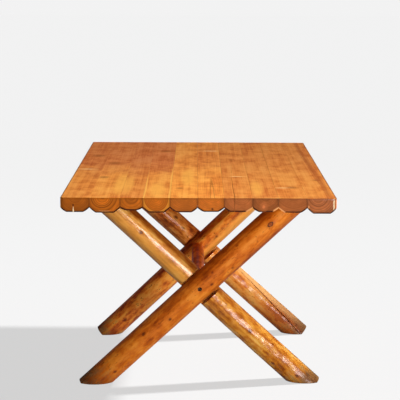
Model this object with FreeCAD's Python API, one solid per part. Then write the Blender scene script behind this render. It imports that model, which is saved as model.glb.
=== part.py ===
import FreeCAD, Part
import math
import os
from collections import namedtuple
from FreeCAD import Placement, Rotation, Vector

# A rustic dining table of peeled logs, in millimetres. Half-log slats run along Y and make the top.
# They are screwed to two half-log cleats, and each cleat stands on an X-frame of two lapped poles.
# A round stretcher ties the two crossings. The origin is on the floor under the middle of the top.

# The top: half logs side by side, sawn face up, with their rounded undersides planed to a flat
TABLE_LENGTH = 1524.0
TABLE_WIDTH = 914.0
HALF_WIDTH = TABLE_WIDTH / 2
TABLE_HEIGHT = 743.0
CORNER_RADIUS = 12.0    # rounding of the top's four corners, seen from above
ARRIS_RADIUS = 3.0      # rounding of the top's outer edge
SLAT_EDGE = 34.0        # height of the jointed side of each slat
SLAT_CROWN = 18.0       # how far the deepest underside drops below the side
SHOULDER_WIDTH = 21.0   # the round part of an underside, beside its flat
BULGE_HEIGHT = 1.6      # how far that round part stands out from a straight bevel
Slat = namedtuple("Slat", "width crown")  # no two logs are alike
SLATS = [
    Slat(width=0.1061 * TABLE_WIDTH, crown=0.83 * SLAT_CROWN),
    Slat(width=0.1105 * TABLE_WIDTH, crown=0.94 * SLAT_CROWN),
    Slat(width=0.0821 * TABLE_WIDTH, crown=0.50 * SLAT_CROWN),
    Slat(width=0.0985 * TABLE_WIDTH, crown=0.89 * SLAT_CROWN),
    Slat(width=0.0996 * TABLE_WIDTH, crown=0.83 * SLAT_CROWN),
    Slat(width=0.0963 * TABLE_WIDTH, crown=0.72 * SLAT_CROWN),
    Slat(width=0.1028 * TABLE_WIDTH, crown=0.72 * SLAT_CROWN),
    Slat(width=0.0930 * TABLE_WIDTH, crown=0.72 * SLAT_CROWN),
    Slat(width=0.1039 * TABLE_WIDTH, crown=0.83 * SLAT_CROWN),
    Slat(width=0.1072 * TABLE_WIDTH, crown=1.00 * SLAT_CROWN),
]

# Blind dowels that keep neighbouring slats flush
DOWEL_DIAMETER = 12.0
DOWEL_LENGTH = 64.0
DOWEL_PLAY = 0.2        # added to the diameter of its hole
DOWEL_GLUE_ROOM = 2.0   # spare depth of the hole at each end
DOWEL_BELOW_TOP = 17.0
DOWEL_END_INSET = 130.0
DOWELS_PER_SEAM = 4

# The cleats: half logs across the slats, let into a flat seat in each underside
CLEAT_WIDTH = 96.0
CLEAT_EDGE = 33.0
CLEAT_CROWN = 17.0
CLEAT_INSET = 25.0      # from the side of the top to the end of the cleat
CLEAT_END_BEVEL = 18.0
SEAT_BELOW_EDGE = 4.0   # the seat lies this far under the slats' side walls
SEAT_PLAY = 0.3

# The X-frames: the outer pole of each frame is lapped over the inner one
END_OVERHANG = 408.0    # from the end of the top to the middle of a frame
LAP_OFFSET = 12.0       # from the middle of a frame to the axis of each pole
LAP_PLAY = 9.0          # on each side of the round pole that lies in a square notch
POLE_RADIUS = 45.0
POLE_SPARE = 20.0       # length of pole sawn off past the top cut
Leg = namedtuple("Leg", "name foot_x top_x foot_radius top_radius toe_facet")
FRONT_OUTER = Leg(
    "front_left_leg",
    foot_x=-0.816 * HALF_WIDTH,
    top_x=0.716 * HALF_WIDTH,
    foot_radius=1.004 * POLE_RADIUS,
    top_radius=1.044 * POLE_RADIUS,
    toe_facet=0.22 * POLE_RADIUS,
)
FRONT_INNER = Leg(
    "front_right_leg",
    foot_x=0.851 * HALF_WIDTH,
    top_x=-0.696 * HALF_WIDTH,
    foot_radius=1.020 * POLE_RADIUS,
    top_radius=1.013 * POLE_RADIUS,
    toe_facet=0.31 * POLE_RADIUS,
)
REAR_INNER = Leg(
    "rear_left_leg",
    foot_x=-0.821 * HALF_WIDTH,
    top_x=0.687 * HALF_WIDTH,
    foot_radius=0.987 * POLE_RADIUS,
    top_radius=0.998 * POLE_RADIUS,
    toe_facet=0.73 * POLE_RADIUS,
)
REAR_OUTER = Leg(
    "rear_right_leg",
    foot_x=0.902 * HALF_WIDTH,
    top_x=-0.689 * HALF_WIDTH,
    foot_radius=1.009 * POLE_RADIUS,
    top_radius=1.000 * POLE_RADIUS,
    toe_facet=0.76 * POLE_RADIUS,
)

# The stretcher between the crossings, scribed to the inner pole of each frame
STRETCHER_FRONT_RADIUS = 25.0
STRETCHER_REAR_RADIUS = 24.0
STRETCHER_SHIFT = -8.0  # along X, from the crossings to the stretcher's axis
SCRIBE_GAP = 0.3

# Lag screws: one through each crossing into the stretcher, one up through each leg into its cleat
LAG_SHANK = 7.9
LAG_HEAD_FLATS = 12.7
LAG_HEAD_HEIGHT = 5.4
LAG_POINT = 10.0
LAG_HOLE_PLAY = 0.3
LAG_TIP_ROOM = 2.0
LAG_COUNTERBORE = 16.0
CROSSING_LAG_LENGTH = 165.0
CROSSING_BORE_DEPTH = 14.0
LEG_LAG_LENGTH = 76.0
LEG_LAG_BITE = 40.0     # depth of the lag in the cleat
LEG_LAG_OUTSET = 16.0   # outwards from where the leg's axis meets the cleat

# Wood screws up through the cleats, a pair to each slat
SCREW_SHANK = 5.5
SCREW_HEAD = 10.0
SCREW_HEAD_HEIGHT = 3.0
SCREW_POINT = 7.0
SCREW_LENGTH = 62.0
SCREW_HOLE_PLAY = 0.2
SCREW_TIP_ROOM = 1.5
SCREW_COUNTERBORE = 11.5
SCREW_BORE_DEPTH = 12.0
SCREW_SPREAD = 16.0     # from the middle of the cleat to each screw of a pair

seat_z = TABLE_HEIGHT - SLAT_EDGE - SEAT_BELOW_EDGE
cleat_depth = CLEAT_EDGE + CLEAT_CROWN
leg_top_z = seat_z - cleat_depth
frame_reach = TABLE_LENGTH / 2 - END_OVERHANG
beyond = 2 * TABLE_LENGTH  # long enough for a cut to pass right through

Frame = namedtuple("Frame", "name outward y outer inner")
FRONT = Frame("front", -1, -frame_reach, FRONT_OUTER, FRONT_INNER)
REAR = Frame("rear", 1, frame_reach, REAR_OUTER, REAR_INNER)
FRAMES = [FRONT, REAR]

UP = Vector(0, 0, 1)


def prism(points, travel):
    """A closed polygon of points, pushed along travel."""
    return Part.Face(Part.makePolygon(points + points[:1])).extrude(travel)


def set_at(shape, point, direction):
    """A copy of a shape made along +Z, with its origin at point and its +Z along direction."""
    placed = shape.copy()
    placed.Placement = Placement(point, Rotation(UP, direction))
    return placed


def half_log(width, edge, crown, length):
    """A half log along Y, its sawn face up at Z = 0, with round shoulders beside a planed flat."""
    half = width / 2
    flat = half - SHOULDER_WIDTH
    depth = edge + crown
    slope = math.hypot(SHOULDER_WIDTH, crown)
    middle_x = half - SHOULDER_WIDTH / 2 + BULGE_HEIGHT * crown / slope
    middle_z = -edge - crown / 2 - BULGE_HEIGHT * SHOULDER_WIDTH / slope

    def at(x, z):
        return Vector(x, -length / 2, z)

    outline = [
        Part.LineSegment(at(-half, 0), at(half, 0)),
        Part.LineSegment(at(half, 0), at(half, -edge)),
        Part.Arc(at(half, -edge), at(middle_x, middle_z), at(flat, -depth)),
        Part.LineSegment(at(flat, -depth), at(-flat, -depth)),
        Part.Arc(at(-flat, -depth), at(-middle_x, middle_z), at(-half, -edge)),
        Part.LineSegment(at(-half, -edge), at(-half, 0)),
    ]
    wire = Part.Wire([piece.toShape() for piece in outline])
    return Part.Face(wire).extrude(Vector(0, length, 0))


def top_outline():
    """A block with the top's rounded corners and outer edge, deep enough for every slat."""
    depth = SLAT_EDGE + max(slat.crown for slat in SLATS)
    corner = Vector(-HALF_WIDTH, -TABLE_LENGTH / 2, TABLE_HEIGHT - 2 * depth)
    block = Part.makeBox(TABLE_WIDTH, TABLE_LENGTH, 2 * depth, corner)
    upright = [edge for edge in block.Edges if abs(edge.tangentAt(edge.FirstParameter).z) > 0.5]
    block = block.makeFillet(CORNER_RADIUS, upright)
    top = max(block.Faces, key=lambda face: face.CenterOfMass.z)
    return block.makeFillet(ARRIS_RADIUS, top.Edges)


def hex_head():
    """The six-sided head of a lag screw, under Z = 0."""
    corner = LAG_HEAD_FLATS / math.sqrt(3)
    turns = [math.radians(60 * side) for side in range(6)]
    ring = [Vector(corner * math.cos(turn), corner * math.sin(turn), 0) for turn in turns]
    return prism(ring, Vector(0, 0, -LAG_HEAD_HEIGHT))


def round_head():
    """The flat round head of a wood screw, under Z = 0."""
    return Part.makeCylinder(SCREW_HEAD / 2, SCREW_HEAD_HEIGHT, Vector(0, 0, -SCREW_HEAD_HEIGHT))


def screw(head, shank, point, length):
    """A screw along +Z that seats its head at Z = 0."""
    body = Part.makeCylinder(shank / 2, length - point)
    tip = Part.makeCone(shank / 2, 0, point, Vector(0, 0, length - point))
    return head.fuse([body, tip]).removeSplitter()


def stepped_bore(hole, depth, counterbore, counterbore_depth):
    """What a screw's hole removes: the hole along +Z and the counterbore for its head, below Z = 0."""
    narrow = Part.makeCylinder(hole / 2, depth)
    wide = Part.makeCylinder(counterbore / 2, counterbore_depth, Vector(0, 0, -counterbore_depth))
    return narrow.fuse(wide)


def leg_y(frame, leg):
    """The Y of the plane that holds a leg's axis."""
    side = frame.outward if leg is frame.outer else -frame.outward
    return frame.y + side * LAP_OFFSET


def leg_direction(leg):
    """The unit vector along a leg, from foot to top."""
    return Vector(leg.top_x - leg.foot_x, 0, leg_top_z).normalize()


def leg_radius(leg, z):
    """The radius of a leg's pole where its axis is at height z."""
    return leg.foot_radius + (leg.top_radius - leg.foot_radius) * z / leg_top_z


def crossing(frame):
    """The point in a frame's middle plane where the axes of its two legs cross."""
    outer, inner = frame.outer, frame.inner
    closing = (outer.top_x - outer.foot_x) - (inner.top_x - inner.foot_x)
    share = (inner.foot_x - outer.foot_x) / closing
    return Vector(outer.foot_x + share * (outer.top_x - outer.foot_x), frame.y, share * leg_top_z)


def taper(start, end, start_radius, end_radius):
    """A round pole from start to end, turned from its outline."""
    length = (end - start).Length
    outline = [
        Vector(0, 0, 0),
        Vector(start_radius, 0, 0),
        Vector(end_radius, 0, length),
        Vector(0, 0, length),
    ]
    half_section = Part.Face(Part.makePolygon(outline + outline[:1]))
    return set_at(half_section.revolve(Vector(0, 0, 0), UP, 360), start, end - start)


def leg_pole(frame, leg, grow=0.0):
    """A leg's pole before its level cuts. Its square lower end leaves the facet at the toe."""
    along = leg_direction(leg)
    run = abs(along.x) / along.z
    foot = Vector(leg.foot_x, leg_y(frame, leg), 0)
    top = Vector(leg.top_x, leg_y(frame, leg), leg_top_z)
    start = foot - along * (leg.foot_radius - leg.toe_facet) * run
    end = top + along * (leg.top_radius * run + POLE_SPARE)
    return taper(start, end, leg_radius(leg, start.z) + grow, leg_radius(leg, end.z) + grow)


def lap_notch(frame, leg, partner):
    """What a leg's notch removes: the half of the frame that its partner's pole lies in."""
    centre = crossing(frame)
    width = 2 * (leg_radius(partner, centre.z) + LAP_PLAY)
    near = 0.0 if leg_y(frame, partner) > frame.y else -beyond
    block = Part.makeBox(beyond, beyond, width, Vector(-beyond / 2, near, -width / 2))
    block.Placement = Placement(centre, Rotation(Vector(1, 0, 0), leg_direction(partner)))
    return block


def crossing_lag_seat(frame):
    """Where the head of a crossing's lag screw seats, and the way that it points."""
    centre = crossing(frame)
    face = leg_y(frame, frame.outer) + frame.outward * leg_radius(frame.outer, centre.z)
    seat_y = face - frame.outward * CROSSING_BORE_DEPTH
    return Vector(centre.x, seat_y, centre.z), Vector(0, -frame.outward, 0)


def leg_lag_seat(frame, leg):
    """Where the head of a leg's lag screw seats, under the cleat that it goes up into."""
    x = leg.top_x + math.copysign(LEG_LAG_OUTSET, leg.top_x)
    return Vector(x, leg_y(frame, leg), leg_top_z + LEG_LAG_BITE - LEG_LAG_LENGTH)


def lag_bore(length, counterbore_depth):
    """What the hole for a lag screw of this length removes."""
    hole = LAG_SHANK + LAG_HOLE_PLAY
    return stepped_bore(hole, length + LAG_TIP_ROOM, LAG_COUNTERBORE, counterbore_depth)


def build_slats(seams, screw_bores):
    """The slats: half logs cut for their dowels, for the cleats' seats and for the screws."""
    outline = top_outline()
    hole_length = DOWEL_LENGTH + 2 * DOWEL_GLUE_ROOM
    dowel_hole = Part.makeCylinder((DOWEL_DIAMETER + DOWEL_PLAY) / 2, hole_length)
    seat_width = CLEAT_WIDTH + 2 * SEAT_PLAY
    seats = []
    for frame in FRAMES:
        corner = Vector(-beyond / 2, frame.y - seat_width / 2, seat_z - cleat_depth)
        seats.append(Part.makeBox(beyond, seat_width, cleat_depth, corner))
    solids = []
    for slat, left, right in zip(SLATS, seams, seams[1:]):
        solid = half_log(slat.width, SLAT_EDGE, slat.crown, TABLE_LENGTH)
        solid.translate(Vector((left + right) / 2, 0, TABLE_HEIGHT))
        dowel_holes = []
        for seam in (left, right):
            if seam in seams[1:-1]:
                for y in dowel_rows():
                    start = Vector(seam - hole_length / 2, y, TABLE_HEIGHT - DOWEL_BELOW_TOP)
                    dowel_holes.append(set_at(dowel_hole, start, Vector(1, 0, 0)))
        solids.append(solid.common(outline).cut(seats + dowel_holes + screw_bores))
    return solids


def dowel_rows():
    """The Y of each row of dowels."""
    first = DOWEL_END_INSET - TABLE_LENGTH / 2
    step = -2 * first / (DOWELS_PER_SEAM - 1)
    return [first + row * step for row in range(DOWELS_PER_SEAM)]


def build_dowels(seams):
    """All the dowels, half in each of two neighbouring slats."""
    dowel = Part.makeCylinder(DOWEL_DIAMETER / 2, DOWEL_LENGTH)
    dowels = []
    for seam in seams[1:-1]:
        for y in dowel_rows():
            start = Vector(seam - DOWEL_LENGTH / 2, y, TABLE_HEIGHT - DOWEL_BELOW_TOP)
            dowels.append(set_at(dowel, start, Vector(1, 0, 0)))
    return dowels


def build_cleat(frame, bores):
    """A cleat: a half log along X with its lower corners bevelled at the ends."""
    half = HALF_WIDTH - CLEAT_INSET
    log = half_log(CLEAT_WIDTH, CLEAT_EDGE, CLEAT_CROWN, 2 * half)
    log.rotate(Vector(0, 0, 0), UP, 90)
    side = [
        Vector(-half, -CLEAT_WIDTH, 0),
        Vector(half, -CLEAT_WIDTH, 0),
        Vector(half, -CLEAT_WIDTH, CLEAT_END_BEVEL - cleat_depth),
        Vector(half - CLEAT_END_BEVEL, -CLEAT_WIDTH, -cleat_depth),
        Vector(CLEAT_END_BEVEL - half, -CLEAT_WIDTH, -cleat_depth),
        Vector(-half, -CLEAT_WIDTH, CLEAT_END_BEVEL - cleat_depth),
    ]
    log = log.common(prism(side, Vector(0, 2 * CLEAT_WIDTH, 0)))
    log.translate(Vector(0, frame.y, seat_z))
    return log.cut(bores)


def build_leg(frame, leg, bores):
    """A leg: a pole cut level on the floor and under its cleat, and notched where it crosses."""
    partner = frame.inner if leg is frame.outer else frame.outer
    corner = Vector(-beyond / 2, -beyond / 2, 0)
    level = Part.makeBox(beyond, beyond, leg_top_z, corner)
    return leg_pole(frame, leg).common(level).cut([lap_notch(frame, leg, partner)] + bores)


def build_stretcher(bores):
    """The stretcher: a pole whose ends are scribed round the inner legs."""
    front = crossing(FRONT)
    front.y = leg_y(FRONT, FRONT.inner)
    rear = crossing(REAR)
    rear.y = leg_y(REAR, REAR.inner)
    front.x += STRETCHER_SHIFT
    rear.x += STRETCHER_SHIFT
    pole = taper(front, rear, STRETCHER_FRONT_RADIUS, STRETCHER_REAR_RADIUS)
    scribes = [leg_pole(frame, frame.inner, grow=SCRIBE_GAP) for frame in FRAMES]
    return pole.cut(scribes + bores)


nodes = {}
seams = [-HALF_WIDTH]
for slat in SLATS:
    seams.append(seams[-1] + slat.width)

# Screw places: a pair on each slat's middle line, at both cleats
slat_screw = screw(round_head(), SCREW_SHANK, SCREW_POINT, SCREW_LENGTH)
slat_bore = stepped_bore(
    SCREW_SHANK + SCREW_HOLE_PLAY, SCREW_LENGTH + SCREW_TIP_ROOM, SCREW_COUNTERBORE, SCREW_BORE_DEPTH
)
slat_screw_seats = {
    frame: [
        Vector((left + right) / 2, frame.y + side * SCREW_SPREAD, leg_top_z + SCREW_BORE_DEPTH)
        for left, right in zip(seams, seams[1:])
        for side in (-1, 1)
    ]
    for frame in FRAMES
}
screw_bores = {
    frame: [set_at(slat_bore, seat, UP) for seat in seats] for frame, seats in slat_screw_seats.items()
}
all_screw_bores = [bore for frame in FRAMES for bore in screw_bores[frame]]

for number, solid in enumerate(build_slats(seams, all_screw_bores), start=1):
    nodes[f"top_slat_{number:02d}"] = solid
nodes["edge_dowels"] = Part.makeCompound(build_dowels(seams))
nodes["slat_screws"] = Part.makeCompound(
    [set_at(slat_screw, seat, UP) for frame in FRAMES for seat in slat_screw_seats[frame]]
)

crossing_lag = screw(hex_head(), LAG_SHANK, LAG_POINT, CROSSING_LAG_LENGTH)
crossing_bore = lag_bore(CROSSING_LAG_LENGTH, 2 * CROSSING_BORE_DEPTH)
leg_lag = screw(hex_head(), LAG_SHANK, LAG_POINT, LEG_LAG_LENGTH)
leg_bore = lag_bore(LEG_LAG_LENGTH, leg_top_z)  # its counterbore opens through the leg's underside
stretcher_bores = []
leg_lags = []
for frame in FRAMES:
    seat, inwards = crossing_lag_seat(frame)
    through = set_at(crossing_bore, seat, inwards)
    stretcher_bores.append(through)
    nodes[f"{frame.name}_crossing_lag"] = set_at(crossing_lag, seat, inwards)
    cleat_bores = list(screw_bores[frame])
    for leg in (frame.outer, frame.inner):
        upright = set_at(leg_bore, leg_lag_seat(frame, leg), UP)
        cleat_bores.append(upright)
        leg_lags.append(set_at(leg_lag, leg_lag_seat(frame, leg), UP))
        nodes[leg.name] = build_leg(frame, leg, [through, upright])
    nodes[f"{frame.name}_cleat"] = build_cleat(frame, cleat_bores)
nodes["leg_lags"] = Part.makeCompound(leg_lags)
nodes["stretcher"] = build_stretcher(stretcher_bores)

os.makedirs("parts", exist_ok=True)
for name, shape in nodes.items():
    shape.exportStep(os.path.join("parts", name + ".step"))
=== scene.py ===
import math
from collections import namedtuple

import bmesh
import bpy
import numpy as np
from mathutils import Matrix, Vector


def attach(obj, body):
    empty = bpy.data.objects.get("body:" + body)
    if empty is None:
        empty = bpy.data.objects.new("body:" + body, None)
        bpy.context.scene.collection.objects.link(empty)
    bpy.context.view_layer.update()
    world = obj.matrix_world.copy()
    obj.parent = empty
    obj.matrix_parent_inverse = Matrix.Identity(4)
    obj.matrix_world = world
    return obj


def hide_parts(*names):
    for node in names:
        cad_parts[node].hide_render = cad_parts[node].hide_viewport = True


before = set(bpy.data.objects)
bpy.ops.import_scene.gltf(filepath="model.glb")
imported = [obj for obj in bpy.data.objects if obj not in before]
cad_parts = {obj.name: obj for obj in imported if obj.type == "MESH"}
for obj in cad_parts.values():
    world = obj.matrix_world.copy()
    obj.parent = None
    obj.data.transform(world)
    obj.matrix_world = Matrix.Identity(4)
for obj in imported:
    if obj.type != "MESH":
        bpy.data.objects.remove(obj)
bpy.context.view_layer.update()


# The legs are four peeled softwood poles under amber varnish. Each was shaved round with a drawknife,
# notched half through where it laps its partner, and sawn level on the floor and under its cleat.
LEG_TOP = 0.655         # the underside of the cleats
CROSS_PLANE = 0.354     # from the middle of the table to the middle of an X-frame
LAP_PLAY = 0.009        # on each side of the round pole that lies in a square notch
ARRIS = 0.0022          # the eased edge of a sawn end
OUT_OF_ROUND = 0.012    # a share of a pole's radius
STROKES = 320           # of the drawknife, for each metre of a pole
POLE_COLUMNS = 132      # points round a pole
RING_STEP = 0.0042      # between the rings of points along a pole
EDGE_STEPS = np.array([0, 0.0004, 0.001, 0.0018, 0.0028, 0.0046])   # the same, by a sawn end
Knot = namedtuple("Knot", "along turn size rise", defaults=(0.0006,))  # turn: degrees, -90 faces front
Leg = namedtuple("Leg", "node y foot_x top_x foot_radius top_radius toe seed knots")
FRONT_LEFT = Leg("front_left_leg", -0.366, -0.3729, 0.3272, 0.0452, 0.0470, 0.0099, 11, [
    Knot(0.864, -93, 0.0082, 0.0012),
    Knot(0.724, -122, 0.0036),
    Knot(0.658, -60, 0.0040),
    Knot(0.594, -108, 0.0036),
    Knot(0.563, -69, 0.0044),
    Knot(0.366, -80, 0.0042, 0.0010),
    Knot(0.258, -112, 0.0054, -0.0012),
    Knot(0.087, -70, 0.0042),
    Knot(0.700, 64, 0.0080, 0.0010),
    Knot(0.240, 118, 0.0070),
])
FRONT_RIGHT = Leg("front_right_leg", -0.342, 0.3889, -0.3181, 0.0459, 0.0456, 0.0140, 12, [
    Knot(0.813, -84, 0.0052, -0.0014),
    Knot(0.281, -82, 0.0060, 0.0014),
    Knot(0.185, -54, 0.0036),
    Knot(0.135, -121, 0.0046),
    Knot(0.041, -88, 0.0050),
    Knot(0.013, -48, 0.0060),
    Knot(0.640, 75, 0.0085, 0.0010),
    Knot(0.180, 110, 0.0060),
])
REAR_LEFT = Leg("rear_left_leg", 0.342, -0.3752, 0.3140, 0.0444, 0.0449, 0.0329, 13, [
    Knot(0.612, -76, 0.0036),
    Knot(0.101, -82, 0.0052),
    Knot(0.810, 95, 0.0085, 0.0010),
    Knot(0.330, 70, 0.0065),
])
REAR_RIGHT = Leg("rear_right_leg", 0.366, 0.4122, -0.3149, 0.0454, 0.0450, 0.0342, 14, [
    Knot(0.699, -54, 0.0052),
    Knot(0.031, -56, 0.0056),
    Knot(0.870, 100, 0.0080, 0.0010),
    Knot(0.280, 82, 0.0075, 0.0012),
])
FRONT_FRAME = (FRONT_LEFT, FRONT_RIGHT)     # the outer pole of a frame, then the inner one
REAR_FRAME = (REAR_RIGHT, REAR_LEFT)


def log_place(pith, along, across):
    """Where a log stands: its own Z runs along the pith, its own X runs across it."""
    z = Vector(along).normalized()
    x = Vector(across).normalized()
    place = Matrix((x, z.cross(x), z)).transposed().to_4x4()
    place.translation = pith
    return place


def leg_place(leg):
    """A leg's own place, with its pith's foot on the floor and its own Y away from the front."""
    run = Vector((leg.top_x - leg.foot_x, 0, LEG_TOP))
    return log_place((leg.foot_x, leg.y, 0), run, (run.z, 0, -run.x))


def ripple(seed, *fields):
    """A slow, even unevenness of about -1 to 1 over the given fields, each scaled to radians."""
    draw = np.random.default_rng(seed)
    total = 0
    for _ in range(5):
        phase = draw.uniform(0, 2 * math.pi)
        total = total + np.sin(phase + sum(field * draw.uniform(-1, 1) for field in fields))
    return total / 3


def shaved(radius, turn, along, seed, strokes, deepest):
    """A pole's radius after a drawknife: each stroke takes a long shallow flat off the round."""
    draw = np.random.default_rng(seed)
    left = radius.copy()
    for _ in range(strokes):
        aim = draw.uniform(0, 2 * math.pi)
        middle = draw.uniform(along.min(), along.max())
        half_length = draw.uniform(0.04, 0.15)
        depth = deepest * draw.uniform(0.3, 1)
        facing = np.cos(turn - aim)
        bite = depth * (1 - ((along - middle) / half_length) ** 2)
        flat = (radius - bite) / np.maximum(facing, 0.5)
        left = np.where(facing > 0.5, np.minimum(left, flat), left)
    return left


def swell(turn, along, radius, knots):
    """How far a pole's knots stand out, or in where the knot has dropped out."""
    out = np.zeros_like(along)
    for knot in knots:
        sideways = np.angle(np.exp(1j * (turn - math.radians(knot.turn)))) * radius
        far = np.hypot(sideways, (along - knot.along) * 0.7) / knot.size
        out += knot.rise * (np.exp(-(far / 1.3) ** 2) - 0.5 * np.exp(-(far / 0.5) ** 2))
    return out


def pole_rings(start, end, turn, taper, seed, knots=(), bow=0.0012, deepest=0.0008):
    """The rings of a shaved pole, in its own place. Each column runs from its own start to its own end."""
    count = int(np.max(end - start) / RING_STEP)
    share = np.linspace(0, 1, count)[:, None]
    inset = EDGE_STEPS[-1] + RING_STEP / 2
    body = (start + inset) + share * (end - start - 2 * inset)
    near = EDGE_STEPS[:, None]
    along = np.concatenate([start + near, body, end - near[::-1]])
    turns = np.broadcast_to(turn, along.shape)
    radius = taper(along) * (1 + OUT_OF_ROUND * ripple(seed, 2 * turns, 9 * along))
    length = np.max(end) - np.min(start)
    radius = shaved(radius, turns, along, seed, int(STROKES * length), deepest)
    radius = radius + swell(turns, along, radius, knots)
    edge = np.minimum(along - start, end - along)
    bite = np.clip(ARRIS - edge, 0, ARRIS)
    radius = radius - ARRIS + np.sqrt(ARRIS**2 - bite**2)
    fade = np.sin(np.clip((along - start) / (end - start), 0, 1) * math.pi)
    x = radius * np.cos(turns) + bow * fade * ripple(seed + 50, 6 * along)
    y = radius * np.sin(turns) + bow * fade * ripple(seed + 60, 6 * along)
    return np.stack([x, y, along], axis=-1)


def around(columns):
    """The turns of points that lie evenly round a pole."""
    return np.arange(columns) * 2 * math.pi / columns


def tube_faces(rings, columns):
    """The quads of a round skin of rings and columns, without its ends."""
    here, column = np.meshgrid(np.arange(rings - 1) * columns, np.arange(columns), indexing="ij")
    above, after = here + columns, (column + 1) % columns
    quads = [here + column, here + after, above + after, above + column]
    return np.stack(quads, axis=-1).reshape(-1, 4).tolist()


table = bpy.data.collections.new("table")
bpy.context.scene.collection.children.link(table)


def make_piece(name, points, faces, place=Matrix()):
    """A closed piece from points in a place of its own, with its faces turned outwards."""
    turned = np.asarray(points).reshape(-1, 3) @ np.array(place.to_3x3()).T + np.array(place.translation)
    mesh = bpy.data.meshes.new(name)
    mesh.from_pydata(turned.tolist(), [], faces)
    skin = bmesh.new()
    skin.from_mesh(mesh)
    bmesh.ops.recalc_face_normals(skin, faces=skin.faces)
    skin.to_mesh(mesh)
    skin.free()
    piece = bpy.data.objects.new(name, mesh)
    table.objects.link(piece)
    return piece


def block(place, low, high):
    """A box between two corners in the given place, to cut with."""
    corners = [(x, y, z) for x in (low[0], high[0]) for y in (low[1], high[1]) for z in (low[2], high[2])]
    faces = [(0, 1, 3, 2), (4, 6, 7, 5), (0, 4, 5, 1), (2, 3, 7, 6), (0, 2, 6, 4), (1, 5, 7, 3)]
    return make_piece("cutter", corners, faces, place)


def bit(start, direction, radius, length, sides=40):
    """A round bit that bores from start along direction, to cut with."""
    place = Vector(direction).to_track_quat("Z", "Y").to_matrix().to_4x4()
    place.translation = start
    turn = around(sides)
    ring = np.stack([radius * np.cos(turn), radius * np.sin(turn)], axis=-1)
    points = [(x, y, z) for z in (0, length) for x, y in ring]
    faces = tube_faces(2, sides) + [list(range(sides))[::-1], list(range(sides, 2 * sides))]
    return make_piece("cutter", points, faces, place)


CHECK_LIP = 0.003       # how far the cutter of a drying check stands clear of the skin


def wedge(path, outward, widths, depths, place=Matrix()):
    """A thin wedge under a path on a log's skin, to cut a drying check with."""
    path = np.asarray(path, float)
    outward = np.asarray(outward, float)
    side = np.cross(np.gradient(path, axis=0), outward)
    side *= (widths / 2 / np.linalg.norm(side, axis=1))[:, None]
    lip = path + outward * CHECK_LIP
    points = np.stack([lip - side, lip + side, path - outward * np.asarray(depths)[:, None]], axis=1)
    last = 3 * (len(path) - 1)
    faces = tube_faces(len(path), 3) + [[2, 1, 0], [last, last + 1, last + 2]]
    return make_piece("cutter", points, faces, place)


def carve(piece, cutters):
    """Cuts the cutters' shapes out of a piece, then clears the cutters away."""
    for cutter in cutters:
        cut = piece.modifiers.new("cut", "BOOLEAN")
        cut.operation = "DIFFERENCE"
        cut.solver = "EXACT"
        cut.object = cutter
    bpy.context.view_layer.update()
    cut_piece = piece.evaluated_get(bpy.context.evaluated_depsgraph_get())
    carved = bpy.data.meshes.new_from_object(cut_piece)
    piece.modifiers.clear()
    piece.data = carved
    for cutter in cutters:
        bpy.data.objects.remove(cutter)


SHARP_EDGE = math.radians(32)


def fit_piece(piece, finish, node):
    """Gives a finished piece its material and soft shading up to its sawn edges, puts it on the root body,
    and hides the node it stands for.
    """
    mesh = piece.data
    mesh.name = piece.name
    mesh.materials.clear()
    mesh.materials.append(finish)
    mesh.polygons.foreach_set("use_smooth", [True] * len(mesh.polygons))
    mesh.set_sharp_from_angle(angle=SHARP_EDGE)
    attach(piece, "root")
    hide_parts(node)


def leg_length(leg):
    """The length of a leg's pith, from the floor to its cleat."""
    return math.hypot(leg.top_x - leg.foot_x, LEG_TOP)


def leg_radius(leg, along):
    """A leg's nominal radius at a distance along its pith."""
    return leg.foot_radius + (leg.top_radius - leg.foot_radius) * along / leg_length(leg)


def radius_at(leg, height):
    """A leg's nominal radius where its pith is at a height over the floor."""
    return leg_radius(leg, leg_length(leg) * height / LEG_TOP)


def crossing(outer, inner):
    """The point in a frame's middle plane where its two piths cross."""
    closing = (outer.top_x - outer.foot_x) - (inner.top_x - inner.foot_x)
    share = (inner.foot_x - outer.foot_x) / closing
    x = outer.foot_x + share * (outer.top_x - outer.foot_x)
    return Vector((x, math.copysign(CROSS_PLANE, outer.y), share * LEG_TOP))


def build_leg(leg):
    """A leg's skin: a shaved pole, level on the floor and under the cleat, with a square facet at its toe."""
    place = leg_place(leg)
    length = leg_length(leg)
    slope = (leg.top_x - leg.foot_x) / LEG_TOP
    turn = around(POLE_COLUMNS)
    square = -(leg.foot_radius - leg.toe) * abs(slope)
    floor = leg.foot_radius * np.cos(turn) * slope
    start = np.maximum(floor, square)
    end = length + leg.top_radius * np.cos(turn) * slope
    rings = pole_rings(start, end, turn, lambda along: leg_radius(leg, along), leg.seed, leg.knots)
    on_floor = floor >= square
    level = rings[:, :, 0] * slope
    rings[0, on_floor, 2] = level[0, on_floor]
    rings[-1, :, 2] = length + level[-1]
    rings[:, :, 2] = np.clip(rings[:, :, 2], level, length + level)
    count = len(rings)
    faces = tube_faces(count, POLE_COLUMNS)
    first_floor = next(c for c in range(POLE_COLUMNS) if on_floor[c] and not on_floor[c - 1])
    order = [(first_floor + step) % POLE_COLUMNS for step in range(POLE_COLUMNS)]
    sole = [column for column in order if on_floor[column]]
    facet = [sole[-1]] + [column for column in order if not on_floor[column]] + [sole[0]]
    last = (count - 1) * POLE_COLUMNS
    faces += [sole[::-1], facet[::-1], [last + column for column in range(POLE_COLUMNS)]]
    return make_piece(leg.node + "_pole", rings, faces, place)


LAP_REACH = 0.3         # how far a notch's cutter reaches past both poles


def lap_cutter(leg, partner, centre):
    """The half of the frame that a leg gives up for its partner's pole."""
    half = radius_at(partner, centre.z) + LAP_PLAY
    place = leg_place(partner)
    place.translation = centre
    reach = LAP_REACH if partner.y > centre.y else -LAP_REACH
    return block(place, (-half, min(0, reach), -LAP_REACH), (half, max(0, reach), LAP_REACH))


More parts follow.
